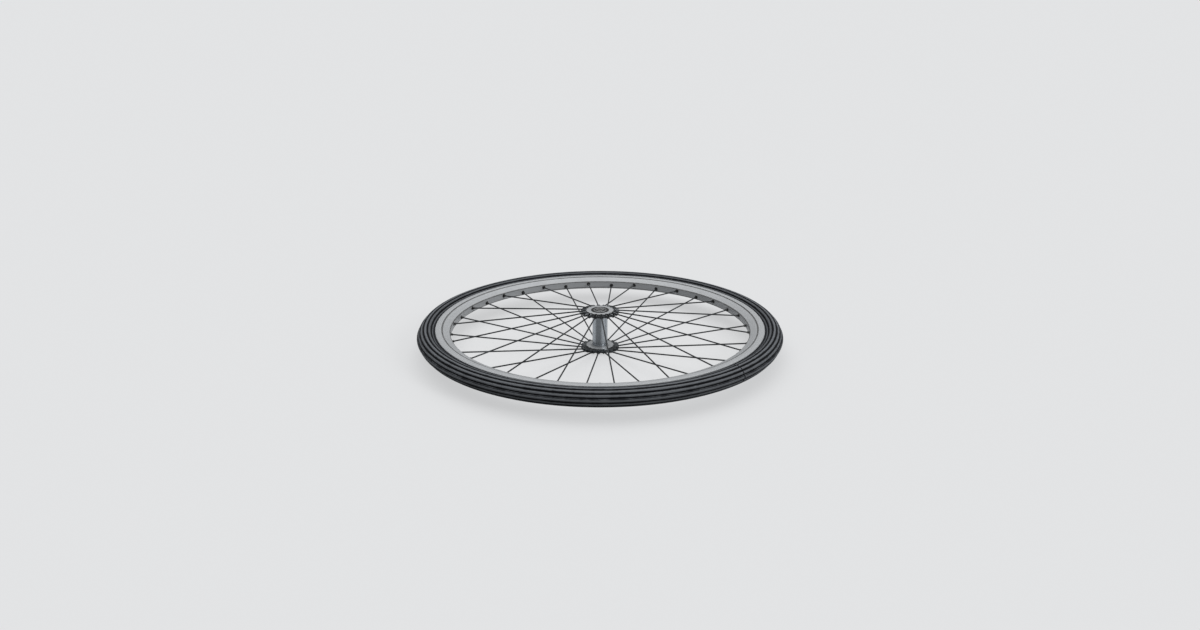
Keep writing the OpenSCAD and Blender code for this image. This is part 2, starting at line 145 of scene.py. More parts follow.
floorMesh = bmesh.new()
bmesh.ops.create_circle(floorMesh, cap_ends=True, segments=96, radius=floorLook["radius"])
floorHeight = cadBox[0][2] - floorLook["under"] * mm
bmesh.ops.translate(floorMesh, verts=floorMesh.verts, vec=(0, 0, floorHeight))
floorData = bpy.data.meshes.new("floor")
floorMesh.to_mesh(floorData)
floorMesh.free()
floor = bpy.data.objects.new("floor", floorData)
bpy.context.scene.collection.objects.link(floor)

# pale to the eye, darker for the light it throws back up; shiny metal sees two darker bands in it
floorMaterial, tree, shader = newMaterial("paleFloor")
shader.inputs["Roughness"].default_value = 0.9
shader.inputs["Specular IOR Level"].default_value = 0.0
rays = addNode(tree, "LightPath")
place = addNode(tree, "SeparateXYZ", Vector=addNode(tree, "TexCoord").outputs["Object"])
around = maths(tree, "DEGREES", maths(tree, "ARCTAN2", place.outputs["Y"], place.outputs["X"]))
band = floorLook["shade"]
shade = maths(tree, "MULTIPLY", ramp(tree, around, band["from"] - band["soft"], band["from"] + band["soft"]),
              ramp(tree, around, band["to"] + band["soft"], band["to"] - band["soft"], 0.0, band["amount"]))
band = floorLook["line"]
offLine = maths(tree, "ABSOLUTE", maths(tree, "SUBTRACT", around, band["at"]))
shade = maths(tree, "ADD", shade, ramp(tree, offLine, band["half"], 0.0, 0.0, band["amount"]))
shade = maths(tree, "MULTIPLY", shade, rays.outputs["Is Glossy Ray"])
plain = addNode(tree, "Emission", Color=floorLook["colour"], Strength=maths(tree, "SUBTRACT", 1.0, shade))
seen = maths(tree, "ADD", rays.outputs["Is Camera Ray"], rays.outputs["Is Glossy Ray"])
seen = maths(tree, "ADD", seen, rays.outputs["Is Transmission Ray"], clamp=True)
plug(tree, mixColour(tree, seen, floorLook["bounce"], floorLook["colour"]), shader.inputs["Base Color"])
seen = maths(tree, "MULTIPLY", seen, floorLook["plainShare"])
mixed = addNode(tree, "MixShader")
plug(tree, seen, mixed.inputs[0])
tree.links.new(shader.outputs[0], mixed.inputs[1])
tree.links.new(plain.outputs[0], mixed.inputs[2])
tree.links.new(mixed.outputs[0], tree.nodes["Material Output"].inputs["Surface"])
floorData.materials.append(floorMaterial)

skyLook = {"horizon": 0.22, "top": 1.0, "left": 0.75, "right": 1.2, "strength": 0.62}

world = bpy.data.worlds.new("studio")
bpy.context.scene.world = world
world.use_nodes = True
tree = world.node_tree
background = tree.nodes["Background"]
direction = addNode(tree, "TexCoord").outputs["Generated"]
parts = addNode(tree, "SeparateXYZ", Vector=direction)
height = ramp(tree, parts.outputs["Z"], -0.05, 0.9, skyLook["horizon"], skyLook["top"])
side = ramp(tree, parts.outputs["X"], -0.9, 0.9, skyLook["left"], skyLook["right"])
light = maths(tree, "MULTIPLY", height, side)
rays = addNode(tree, "LightPath")
sky = addNode(tree, "CombineXYZ", X=light, Y=light, Z=light)
direct = mixColour(tree, rays.outputs["Is Camera Ray"], sky.outputs[0], floorLook["colour"])
plug(tree, direct, background.inputs["Color"])
background.inputs["Strength"].default_value = skyLook["strength"]

# suns: power, how each is turned, and how wide it looks, in degrees
lamps = {
    "key": {"power": 1.5, "turn": (-12, 0, 25), "spread": 75},
    "fill": {"power": 0.8, "turn": (60, 0, 50), "spread": 20},
}
for name, lamp in lamps.items():
    lampData = bpy.data.lights.new(name, "SUN")
    lampData.energy = lamp["power"]
    lampData.angle = math.radians(lamp["spread"])
    lampObject = bpy.data.objects.new(name, lampData)
    lampObject.rotation_euler = [math.radians(angle) for angle in lamp["turn"]]
    bpy.context.scene.collection.objects.link(lampObject)
print("camera, floor and light made")


# node groups shared by the finishes
def newGroup(name, inputs, outputs):
    group = bpy.data.node_groups.new(name, "ShaderNodeTree")
    for socketName, kind, value in inputs:
        socket = group.interface.new_socket(socketName, in_out="INPUT", socket_type="NodeSocket" + kind)
        socket.default_value = value
    for socketName, kind in outputs:
        group.interface.new_socket(socketName, in_out="OUTPUT", socket_type="NodeSocket" + kind)
    start = group.nodes.new("NodeGroupInput")
    end = group.nodes.new("NodeGroupOutput")
    return group, start.outputs, end.inputs


def useGroup(tree, group, **values):
    node = tree.nodes.new("ShaderNodeGroup")
    node.node_tree = group
    for key, value in values.items():
        plug(tree, value, node.inputs[key.replace("_", " ")])
    return node


# distance from the axle's line and from the middle plane, in millimetres, and the angle round the axle
wheelPlace, start, end = newGroup(
    "wheelPlace", [], [("Radius", "Float"), ("Height", "Float"), ("Turn", "Float")],
)
parts = addNode(wheelPlace, "SeparateXYZ", Vector=addNode(wheelPlace, "TexCoord").outputs["Object"])
flat = addNode(wheelPlace, "CombineXYZ", X=parts.outputs["X"], Y=parts.outputs["Y"])
length = addNode(wheelPlace, "VectorMath", {"operation": "LENGTH"})
plug(wheelPlace, flat, length.inputs[0])
plug(wheelPlace, maths(wheelPlace, "MULTIPLY", length.outputs["Value"], 1000), end["Radius"])
plug(wheelPlace, maths(wheelPlace, "MULTIPLY", parts.outputs["Z"], 1000), end["Height"])
plug(wheelPlace, maths(wheelPlace, "ARCTAN2", parts.outputs["Y"], parts.outputs["X"]), end["Turn"])

# slow mottling and fine grain on any solid surface
grain, start, end = newGroup(
    "grain",
    [("Mottle Size", "Float", 20.0), ("Grain Size", "Float", 0.4)],
    [("Mottle", "Float"), ("Grain", "Float")],
)
place = addNode(grain, "TexCoord").outputs["Object"]
for socketName, detail in (("Mottle", 4.0), ("Grain", 2.0)):
    noise = addNode(grain, "TexNoise", Vector=place, Detail=detail, Roughness=0.6)
    plug(grain, maths(grain, "DIVIDE", 1000.0, start[socketName + " Size"]), noise.inputs["Scale"])
    plug(grain, noise.outputs["Fac"], end[socketName])

# fine lines left by turning or brushing round the wheel's axis
turnedLines, start, end = newGroup(
    "turnedLines",
    [("Line Size", "Float", 0.3), ("Waver", "Float", 0.15)],
    [("Lines", "Float")],
)
spot = useGroup(turnedLines, wheelPlace)
across = maths(turnedLines, "DIVIDE", spot.outputs["Radius"], start["Line Size"])
along = maths(turnedLines, "DIVIDE", spot.outputs["Height"], start["Line Size"])
around = maths(turnedLines, "SINE", maths(turnedLines, "MULTIPLY", spot.outputs["Turn"], 3.0))
around = maths(turnedLines, "MULTIPLY", around, start["Waver"])
lineSpot = addNode(turnedLines, "CombineXYZ", X=across, Y=along, Z=around)
noise = addNode(turnedLines, "TexNoise", Vector=lineSpot, Scale=1.0, Detail=3.0, Roughness=0.65)
plug(turnedLines, noise.outputs["Fac"], end["Lines"])

# paler, rubbed edges
edgeWear, start, end = newGroup(
    "edgeWear",
    [("Width", "Float", 0.3), ("Amount", "Float", 0.5)],
    [("Wear", "Float")],
)
bevel = addNode(edgeWear, "Bevel", {"samples": 4})
plug(edgeWear, maths(edgeWear, "MULTIPLY", start["Width"], 0.001), bevel.inputs["Radius"])
turned = addNode(edgeWear, "VectorMath", {"operation": "DOT_PRODUCT"})
plug(edgeWear, bevel, turned.inputs[0])
plug(edgeWear, addNode(edgeWear, "NewGeometry").outputs["Normal"], turned.inputs[1])
edge = ramp(edgeWear, turned.outputs["Value"], 0.995, 0.86)
patch = useGroup(edgeWear, grain, Mottle_Size=9.0)
edge = maths(edgeWear, "MULTIPLY", edge, ramp(edgeWear, patch.outputs["Mottle"], 0.35, 0.62))
plug(edgeWear, maths(edgeWear, "MULTIPLY", edge, start["Amount"], clamp=True), end["Wear"])

# painted shade from ambient occlusion: 1 down in crevices, 0 in the open
creviceShade, start, end = newGroup("creviceShade", [("Reach", "Float", 3.0)], [("Darkness", "Float")])
shade = addNode(creviceShade, "AmbientOcclusion", {"samples": 6})
plug(creviceShade, maths(creviceShade, "MULTIPLY", start["Reach"], 0.001), shade.inputs["Distance"])
plug(creviceShade, ramp(creviceShade, shade.outputs["AO"], 0.75, 0.3), end["Darkness"])


def setBump(tree, shader, height, strength, distance):
    bump = addNode(tree, "Bump", Height=height, Strength=strength, Distance=distance * mm)
    tree.links.new(bump.outputs[0], shader.inputs["Normal"])


# finishes: colours are the colour of the lit surface, sizes are in millimetres
def turnedMetal(name, look):
    material, tree, shader = newMaterial(name)
    lines = useGroup(tree, turnedLines, Line_Size=look["line"])
    dust = useGroup(tree, grain, Mottle_Size=look["mottle"], Grain_Size=0.25)
    wear = useGroup(tree, edgeWear, Width=look["edge"], Amount=look["wear"])
    colour = mixColour(tree, ramp(tree, lines.outputs["Lines"], 0.3, 0.7), look["dark"], look["light"])
    colour = mixColour(tree, maths(tree, "MULTIPLY", dust.outputs["Mottle"], 0.35), colour, look["dark"])
    colour = mixColour(tree, wear.outputs["Wear"], colour, look["wornAndLit"])
    plug(tree, colour, shader.inputs["Base Color"])
    shader.inputs["Metallic"].default_value = look["metal"]
    rough = ramp(tree, dust.outputs["Mottle"], 0.3, 0.7, look["rough"] - 0.06, look["rough"] + 0.06)
    plug(tree, rough, shader.inputs["Roughness"])
    setBump(tree, shader, lines.outputs["Lines"], look["bump"], 0.02)
    return material, tree, shader


def grainedMatter(name, look):
    material, tree, shader = newMaterial(name)
    dust = useGroup(tree, grain, Mottle_Size=look["mottle"], Grain_Size=look["grain"])
    wear = useGroup(tree, edgeWear, Width=look["edge"], Amount=look["wear"])
    colour = mixColour(tree, ramp(tree, dust.outputs["Mottle"], 0.3, 0.7), look["dark"], look["light"])
    colour = mixColour(tree, wear.outputs["Wear"], colour, look["wornAndLit"])
    plug(tree, colour, shader.inputs["Base Color"])
    shader.inputs["Metallic"].default_value = look["metal"]
    rough = ramp(tree, dust.outputs["Grain"], 0.3, 0.7, look["rough"] - 0.07, look["rough"] + 0.07)
    plug(tree, rough, shader.inputs["Roughness"])
    setBump(tree, shader, dust.outputs["Grain"], look["bump"], 0.03)
    return material, tree, shader


finishes = {
    "rim_alloy": turnedMetal("rimAlloy", {
        "line": 0.35, "mottle": 30, "edge": 0.4, "wear": 0.35, "dark": grey(0.37, -0.03),
        "light": grey(0.45, -0.04), "wornAndLit": grey(0.58), "metal": 0.2, "rough": 0.5, "bump": 0.15}),
    "hub_alloy": turnedMetal("hubAlloy", {
        "line": 0.2, "mottle": 15, "edge": 0.35, "wear": 0.6, "dark": grey(0.44, -0.03),
        "light": grey(0.56, -0.04), "wornAndLit": grey(0.7), "metal": 0.6, "rough": 0.34, "bump": 0.2}),
    "axle_steel": turnedMetal("axleSteel", {
        "line": 0.15, "mottle": 8, "edge": 0.3, "wear": 0.7, "dark": grey(0.15),
        "light": grey(0.22, -0.02), "wornAndLit": grey(0.5), "metal": 0.6, "rough": 0.38, "bump": 0.2}),
    "dark_steel": turnedMetal("darkSteel", {
        "line": 0.2, "mottle": 8, "edge": 0.3, "wear": 0.5, "dark": grey(0.035), "light": grey(0.055, -0.03),
        "wornAndLit": grey(0.3), "metal": 0.7, "rough": 0.4, "bump": 0.15}),
    "spoke_steel": grainedMatter("spokeSteel", {
        "mottle": 25, "grain": 0.3, "edge": 0.2, "wear": 0.0, "dark": grey(0.012, -0.15),
        "light": grey(0.026, -0.15), "wornAndLit": grey(0.4), "metal": 0.5, "rough": 0.34, "bump": 0.05}),
    "nickel_plate": grainedMatter("nickelPlate", {
        "mottle": 6, "grain": 0.3, "edge": 0.2, "wear": 0.3, "dark": grey(0.05), "light": grey(0.09),
        "wornAndLit": grey(0.3), "metal": 0.85, "rough": 0.3, "bump": 0.05}),
    "valve_brass": grainedMatter("valveBrass", {
        "mottle": 5, "grain": 0.3, "edge": 0.2, "wear": 0.3, "dark": (0.42, 0.31, 0.13, 1),
        "light": (0.56, 0.43, 0.2, 1), "wornAndLit": (0.75, 0.62, 0.35, 1), "metal": 0.95, "rough": 0.33,
        "bump": 0.05}),
    "cage_brass": grainedMatter("cageBrass", {
        "mottle": 5, "grain": 0.3, "edge": 0.2, "wear": 0.3, "dark": (0.42, 0.29, 0.11, 1),
        "light": (0.55, 0.4, 0.18, 1), "wornAndLit": (0.75, 0.6, 0.32, 1), "metal": 0.95, "rough": 0.35,
        "bump": 0.05}),
    "bearing_steel": turnedMetal("bearingSteel", {
        "line": 0.1, "mottle": 10, "edge": 0.2, "wear": 0.2, "dark": grey(0.5), "light": grey(0.62),
        "wornAndLit": grey(0.75), "metal": 0.95, "rough": 0.2, "bump": 0.05}),
    "seal_rubber": grainedMatter("sealRubber", {
        "mottle": 6, "grain": 0.3, "edge": 0.2, "wear": 0.0, "dark": grey(0.015), "light": grey(0.025),
        "wornAndLit": grey(0.05), "metal": 0.0, "rough": 0.6, "bump": 0.2}),
    "tube_rubber": grainedMatter("tubeRubber", {
        "mottle": 25, "grain": 0.6, "edge": 0.3, "wear": 0.0, "dark": grey(0.02), "light": grey(0.035),
        "wornAndLit": grey(0.05), "metal": 0.0, "rough": 0.65, "bump": 0.2}),
    "black_plastic": grainedMatter("blackPlastic", {
        "mottle": 6, "grain": 0.35, "edge": 0.3, "wear": 0.3, "dark": grey(0.02), "light": grey(0.03),
        "wornAndLit": grey(0.09), "metal": 0.0, "rough": 0.45, "bump": 0.15}),
}

# the hub's lugs are dark and glossy; its flat rings and its tube are bare
hubLook = {
    "lugsFrom": 26.3, "edgeSoft": 0.3, "scallop": 1.4, "lugs": 18, "lug": grey(0.06, -0.08),
    "lugHighlight": grey(0.45, -0.05), "lugEdge": 0.5, "tubeRadius": 15.2, "tubeSoft": 0.3,
    "tubeTone": grey(0.85, -0.04), "tubeMetal": 0.95, "ringMetal": 0.4, "lugMetal": 0.8,
    "tubeRough": 0.22, "lugRough": 0.3, "paintedShade": grey(0.006), "shadeReach": 2.5, "shadeAmount": 0.9,
}
material, tree, shader = finishes["hub_alloy"]
spot = useGroup(tree, wheelPlace)
radius = spot.outputs["Radius"]
# the dark reaches in over the flat ring at each lug; the lower flange's lugs lie between the upper one's
wave = maths(tree, "SINE", maths(tree, "MULTIPLY", spot.outputs["Turn"], hubLook["lugs"]))
wave = maths(tree, "MULTIPLY", wave, maths(tree, "SIGN", spot.outputs["Height"]))
bite = ramp(tree, wave, 0.0, -1.0, 0.0, hubLook["scallop"])
reach = maths(tree, "ADD", radius, bite)
lugMask = ramp(tree, reach, hubLook["lugsFrom"], hubLook["lugsFrom"] + hubLook["edgeSoft"])
# painted highlight: the lugs' edges go pale, from the edge wear mask at full strength
wornAndLit = useGroup(tree, edgeWear, Width=hubLook["lugEdge"], Amount=1.0)
lugColour = mixColour(tree, wornAndLit.outputs["Wear"], hubLook["lug"], hubLook["lugHighlight"])
bare = shader.inputs["Base Color"].links[0].from_socket
onTube = ramp(tree, radius, hubLook["tubeRadius"] + hubLook["tubeSoft"], hubLook["tubeRadius"])
bare = mixColour(tree, onTube, bare, mixColour(tree, 1.0, bare, hubLook["tubeTone"], "MULTIPLY"))
colour = mixColour(tree, lugMask, bare, lugColour)
# painted shade: near black down in the hub's crevices, between the lugs and where the tube meets the flanges
shadedCrevices = useGroup(tree, creviceShade, Reach=hubLook["shadeReach"])
paintedShade = maths(tree, "MULTIPLY", shadedCrevices.outputs["Darkness"], hubLook["shadeAmount"])
colour = mixColour(tree, paintedShade, colour, hubLook["paintedShade"])
plug(tree, colour, shader.inputs["Base Color"])
metal = ramp(tree, onTube, 0.0, 1.0, hubLook["ringMetal"], hubLook["tubeMetal"])
plug(tree, ramp(tree, lugMask, 0.0, 1.0, metal, hubLook["lugMetal"]), shader.inputs["Metallic"])
rough = shader.inputs["Roughness"].links[0].from_socket
rough = ramp(tree, onTube, 0.0, 1.0, rough, hubLook["tubeRough"])
plug(tree, ramp(tree, lugMask, 0.0, 1.0, rough, hubLook["lugRough"]), shader.inputs["Roughness"])

# painted shade in the rim's groove at the brake track's foot and in the fine grooves along the edges of its
# inner face
rimLook = {
    "from": 300.8, "to": 303.4, "soft": 0.35, "edgeFrom": 5.6, "edgeInside": 288.1, "paintedShade": grey(0.075),
    "amount": 0.85, "patch": 7,
}
material, tree, shader = finishes["rim_alloy"]
spot = useGroup(tree, wheelPlace)
radius = spot.outputs["Radius"]
paintedShade = maths(tree, "MULTIPLY", ramp(tree, radius, rimLook["from"] - rimLook["soft"], rimLook["from"]),
             ramp(tree, radius, rimLook["to"] + rimLook["soft"], rimLook["to"]))
sideways = maths(tree, "ABSOLUTE", spot.outputs["Height"])
along = ramp(tree, sideways, rimLook["edgeFrom"] - rimLook["soft"], rimLook["edgeFrom"])
onFace = ramp(tree, radius, rimLook["edgeInside"] + rimLook["soft"], rimLook["edgeInside"])
paintedShade = maths(tree, "MAXIMUM", paintedShade, maths(tree, "MULTIPLY", along, onFace))
patches = useGroup(tree, grain, Mottle_Size=rimLook["patch"])
amount = ramp(tree, patches.outputs["Mottle"], 0.2, 0.6, 0.6 * rimLook["amount"], rimLook["amount"])
paintedShade = maths(tree, "MULTIPLY", paintedShade, amount)
bare = shader.inputs["Base Color"].links[0].from_socket
plug(tree, mixColour(tree, paintedShade, bare, rimLook["paintedShade"]), shader.inputs["Base Color"])
finishes = {slot: made[0] for slot, made in finishes.items()}
print("finishes made")


# mesh helpers: sizes are given in millimetres, meshes are made in metres
def newPiece(name, mesh, body, slot, replaced=(), material=None, sharp=35, hollow=False):
    if not hollow:
        bmesh.ops.recalc_face_normals(mesh, faces=mesh.faces)
    data = bpy.data.meshes.new(name)
    mesh.to_mesh(data)
    mesh.free()
    data.shade_smooth()
    if sharp:
        data.set_sharp_from_angle(angle=math.radians(sharp))
    data.materials.append(material or finishes[slot])
    piece = bpy.data.objects.new(name, data)
    bpy.context.scene.collection.objects.link(piece)
    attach(piece, body)
    if replaced:
        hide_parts(*replaced)
    return piece


# an open or closed outline in the plane of X and Z, from corners (radius, height)
def outline(mesh, corners, closed=False):
    spots = [mesh.verts.new((radius * mm, 0, height * mm)) for radius, height in corners]
    pairs = list(zip(spots, spots[1:]))
    if closed:
        pairs.append((spots[-1], spots[0]))
    for first, second in pairs:
        mesh.edges.new((first, second))
    return spots


def roundCorners(mesh, corners, radius, steps=3):
    bmesh.ops.bevel(mesh, geom=corners, offset=radius * mm, offset_type="OFFSET", affect="VERTICES",
                    segments=steps, profile=0.5, material=-1, clamp_overlap=True)


def turnRound(mesh, steps, angle=fullTurn, geometry=None):
    geometry = geometry or mesh.verts[:] + mesh.edges[:]
    made = bmesh.ops.spin(mesh, geom=geometry, cent=(0, 0, 0), axis=(0, 0, 1), angle=angle, steps=steps,
                          use_merge=angle == fullTurn, use_duplicate=False)
    return made["geom_last"]


# tyre: eleven rounded ribs on a round casing, spun round the axle, with a shallow join line across it

tyreShape = {
    "sectionRadius": 17.2, "grooveDepth": 2.4, "ribRadius": 3.6, "ribsEachSide": 5, "ribPitch": 27.5,
    "middleLift": 1.5, "inset": 0.02, "valleyRound": 0.25,
    "casing": 3, "beadSeat": 311.1, "rimEdge": 315, "neckHeight": 6.9, "neckHalf": 10.8, "neckFlare": 0.65,
    "beadWidth": 3.5, "ribSteps": 7, "innerSteps": 14, "turnSteps": 300, "joinAngle": 315.5, "joinWidth": 0.9,
    "joinDepth": 0.5, "joinSteps": 5,
}

shape = tyreShape
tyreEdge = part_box("tyre")[1].x / mm - shape["inset"]
sectionCentre = tyreEdge - shape["sectionRadius"] - shape["middleLift"]
casingRadius = shape["sectionRadius"] - shape["grooveDepth"]
innerRadius = casingRadius - shape["casing"]
beadInner = shape["neckHalf"] - shape["beadWidth"]


# centre of a rib's rounding: the middle rib is 0
def ribCentre(rib):
    out = shape["sectionRadius"] - shape["ribRadius"] + (0 if rib else shape["middleLift"])
    lean = math.radians(rib * shape["ribPitch"])
    return Vector((sectionCentre + out * math.cos(lean), out * math.sin(lean)))


# bottom of the groove above a rib, where its rounding meets the next one's
def valleyAbove(rib):
    first, second = ribCentre(rib), ribCentre(rib + 1)
    half = (second - first) / 2
    rise = math.sqrt(max(shape["ribRadius"] ** 2 - half.length_squared, 0))
    return first + half + Vector((half.y, -half.x)).normalized() * rise


def leanOf(spot, centre):
    return math.atan2(spot[1] - centre[1], spot[0] - centre[0])


# sweeps one corner of an outline round a centre (radius, height), anticlockwise, and gives the last one
def sweepCorner(mesh, corner, centre, angle, steps):
    made = bmesh.ops.spin(mesh, geom=[corner], cent=(centre[0] * mm, 0, centre[1] * mm), axis=(0, -1, 0),
                          angle=angle, steps=steps, use_merge=False, use_duplicate=False)
    return [item for item in made["geom_last"] if isinstance(item, bmesh.types.BMVert)][0]


def joinCorners(mesh, corner, spots):
    for radius, height in spots:
        following = mesh.verts.new((radius * mm, 0, height * mm))
        mesh.edges.new((corner, following))
        corner = following
    return corner


tyreMesh = bmesh.new()
valleys = []
corner = tyreMesh.verts.new((tyreEdge * mm, 0, 0))
for rib in range(shape["ribsEachSide"] + 1):
    centre = ribCentre(rib)
    if rib < shape["ribsEachSide"]:
        endLean = leanOf(valleyAbove(rib), centre)
    else:
        neckTop = shape["neckHalf"] + shape["neckFlare"] / 2
        endLean = math.pi - math.asin((neckTop - centre.y) / shape["ribRadius"])
    startLean = leanOf((corner.co.x / mm, corner.co.z / mm), centre)
    corner = sweepCorner(tyreMesh, corner, centre, (endLean - startLean) % fullTurn, shape["ribSteps"])
    valleys.append(corner)
valleys.pop()
corner = joinCorners(tyreMesh, corner, [
    (shape["rimEdge"] + 0.5, shape["neckHalf"]), (shape["beadSeat"], shape["neckHalf"]),
    (shape["beadSeat"], beadInner), (sectionCentre - math.sqrt(innerRadius ** 2 - beadInner ** 2), beadInner),
])
innerSweep = math.pi - math.asin(beadInner / innerRadius)
sweepCorner(tyreMesh, corner, (sectionCentre, 0), -innerSweep, shape["innerSteps"])
roundCorners(tyreMesh, valleys, shape["valleyRound"], 2)
bmesh.ops.mirror(tyreMesh, geom=tyreMesh.verts[:] + tyreMesh.edges[:], axis="Z", merge_dist=0.01 * mm)
joinTurn = shape["joinWidth"] / tyreEdge
joinStart = math.radians(shape["joinAngle"])
joinEnd = Matrix.Rotation(joinStart + joinTurn, 3, "Z")
bmesh.ops.rotate(tyreMesh, verts=tyreMesh.verts, cent=(0, 0, 0), matrix=joinEnd)
last = turnRound(tyreMesh, shape["turnSteps"], fullTurn - joinTurn)
turnRound(tyreMesh, shape["joinSteps"], joinTurn, last)
bmesh.ops.remove_doubles(tyreMesh, verts=tyreMesh.verts, dist=0.005 * mm)
for vert in tyreMesh.verts:
    turn = math.atan2(vert.co.y, vert.co.x) % fullTurn
    if not joinStart + 0.1 * joinTurn < turn < joinStart + 0.9 * joinTurn:
        continue
    centre = Vector((math.cos(turn), math.sin(turn), 0)) * sectionCentre * mm
    depth = (vert.co - centre).length / mm
    if depth > casingRadius - 0.3 and vert.co.xy.length / mm > shape["rimEdge"] + shape["neckHeight"] + 0.5:
        vert.co = centre + (vert.co - centre) * (1 - shape["joinDepth"] / depth)

# rubber: painted light on the ribs' crowns, painted shade near black down in the grooves
tyreLook = {
    "rib": (0.135, 0.144, 0.156, 1), "side": (0.013, 0.0145, 0.018, 1), "groove": (0.003, 0.0035, 0.005, 1),
    "litFrom": 16.45, "litTo": 17.0, "darkBelow": 15.8, "rough": 0.75, "specular": 0.15,
    "neckFrom": 318.4, "neckTo": 319.2, "faintFrom": 326.5, "faintTo": 330.5, "faint": 0.7,
    "joinDirt": 3.2, "liftFrom": 3.5, "liftTo": 2.5,
}
tyreRubber, tree, shader = newMaterial("tyreRubber")
spot = useGroup(tree, wheelPlace)
outward = maths(tree, "SUBTRACT", spot.outputs["Radius"], sectionCentre)
section = addNode(tree, "CombineXYZ", X=outward, Y=spot.outputs["Height"])
depth = addNode(tree, "VectorMath", {"operation": "LENGTH"})
plug(tree, section, depth.inputs[0])
sideways = maths(tree, "ABSOLUTE", spot.outputs["Height"])
lift = ramp(tree, sideways, tyreLook["liftFrom"], tyreLook["liftTo"], 0.0, tyreShape["middleLift"])
depth = maths(tree, "SUBTRACT", depth.outputs["Value"], lift)
patches = useGroup(tree, grain, Mottle_Size=18.0, Grain_Size=0.35)
depth = maths(tree, "ADD", depth, ramp(tree, patches.outputs["Mottle"], 0.2, 0.8, -0.25, 0.25))
colour = mixColour(tree, ramp(tree, depth, tyreLook["darkBelow"], tyreLook["litFrom"]),
                   tyreLook["groove"], tyreLook["side"])
wornAndLit = ramp(tree, depth, tyreLook["litFrom"], tyreLook["litTo"])
overNeck = ramp(tree, spot.outputs["Radius"], tyreLook["neckFrom"], tyreLook["neckTo"])
wornAndLit = maths(tree, "MULTIPLY", wornAndLit, overNeck)
faint = ramp(tree, spot.outputs["Radius"], tyreLook["faintFrom"], tyreLook["faintTo"], tyreLook["faint"], 1.0)
wornAndLit = maths(tree, "MULTIPLY", wornAndLit, faint)   # painted light: the ribs near the rim get less of it
colour = mixColour(tree, wornAndLit, colour, tyreLook["rib"])
joinMiddle = maths(tree, "SUBTRACT", spot.outputs["Turn"], math.remainder(joinStart + joinTurn / 2, fullTurn))
offJoin = maths(tree, "MULTIPLY", maths(tree, "ABSOLUTE", joinMiddle), sectionCentre)
inJoin = ramp(tree, offJoin, tyreLook["joinDirt"] / 2, tyreLook["joinDirt"] / 4)
colour = mixColour(tree, inJoin, colour, tyreLook["groove"])
specks = ramp(tree, patches.outputs["Grain"], 0.3, 0.75, 0.88, 1.08)
colour = mixColour(tree, 1.0, colour, addNode(tree, "CombineXYZ", X=specks, Y=specks, Z=specks), "MULTIPLY")
plug(tree, colour, shader.inputs["Base Color"])
rough = ramp(tree, patches.outputs["Mottle"], 0.3, 0.7, tyreLook["rough"] - 0.08, tyreLook["rough"] + 0.08)
plug(tree, rough, shader.inputs["Roughness"])
shader.inputs["Specular IOR Level"].default_value = tyreLook["specular"]
setBump(tree, shader, patches.outputs["Grain"], 0.35, 0.04)
finishes["tyre_rubber"] = tyreRubber
tyre = newPiece("ribbedTyre", tyreMesh, "wheel", "tyre_rubber", ["tyre"], sharp=50)
print("tyre made,", len(tyre.data.polygons), "faces")

# rim: double wall with a hollow box inside, rounded edges, and a fine groove at the brake track's foot

rimShape = {
    "inside": 286.8, "edge": 315, "faceHalf": 7, "wide": 13.5, "topHalf": 13.1, "brakeFoot": 303,
    "corner": 0.7, "round": 0.35, "bead": 311, "well": 308.8, "wellHalf": 7.75, "shelfHalf": 8.75,
    "beadRoom": 11.35, "lipHalf": 10.9, "lipDeep": 1.4, "lipSlope": 1.85, "wall": 1.6, "faceWall": 1.8,
    "bedWall": 1.4, "groove": 0.7, "grooveWide": 2, "grooveLand": 0.3, "grooveSide": 0.3, "steps": 288,
    "holes": 36, "holeRadius": 3.12, "holeHeight": 1.6, "accessRadius": 4.6, "valveRadius": 4.25,
    "valveTurn": 270, "past": 2,
}

shape = rimShape
flank = (shape["wide"] - shape["faceHalf"]) / (shape["brakeFoot"] - shape["inside"])
slopeWall = shape["wall"] * math.sqrt(1 + flank ** 2)
slope = (shape["wide"] - shape["faceHalf"]) / (shape["brakeFoot"] - shape["inside"] - shape["corner"])
grooveEnd = shape["brakeFoot"] - shape["grooveLand"]
grooveStart = grooveEnd - shape["grooveWide"]
floorStart, floorEnd = grooveStart + shape["grooveSide"], grooveEnd - shape["grooveSide"]


def slopeHeight(radius, depth=0.0):
    return shape["faceHalf"] + slope * (radius - shape["inside"] - shape["corner"]) - depth


rimMesh = bmesh.new()
faceEdge = shape["faceHalf"] - shape["corner"]
outside = outline(rimMesh, [
    (shape["inside"], 0), (shape["inside"], faceEdge - 0.65), (shape["inside"] + 0.4, faceEdge - 0.35),
    (shape["inside"], faceEdge - 0.05), (shape["inside"] + shape["corner"], shape["faceHalf"]),
    (grooveStart, slopeHeight(grooveStart)), (floorStart, slopeHeight(floorStart, shape["groove"])),
    (floorEnd, slopeHeight(floorEnd, shape["groove"])), (grooveEnd, slopeHeight(grooveEnd)),
    (shape["brakeFoot"], shape["wide"]), (shape["edge"] - shape["corner"], shape["topHalf"]),
    (shape["edge"], shape["topHalf"] - shape["corner"]), (shape["edge"], shape["lipHalf"]),
    (shape["edge"] - shape["lipDeep"], shape["lipHalf"]),
    (shape["edge"] - shape["lipSlope"], shape["beadRoom"]),
    (shape["bead"], shape["beadRoom"]), (shape["bead"], shape["shelfHalf"]),
    (shape["well"], shape["wellHalf"]), (shape["well"], 0),
])
roundCorners(rimMesh, [outside[place] for place in (4, 10, 11, 12)], shape["round"], 2)
boxMesh = bmesh.new()
outline(boxMesh, [
    (shape["inside"] + shape["faceWall"], 0),
    (shape["inside"] + shape["faceWall"], shape["faceHalf"] + flank * shape["faceWall"] - slopeWall),
    (shape["brakeFoot"], shape["wide"] - slopeWall),
    (shape["well"] - shape["bedWall"], shape["topHalf"] - shape["wall"]),
    (shape["well"] - shape["bedWall"], 0),
])
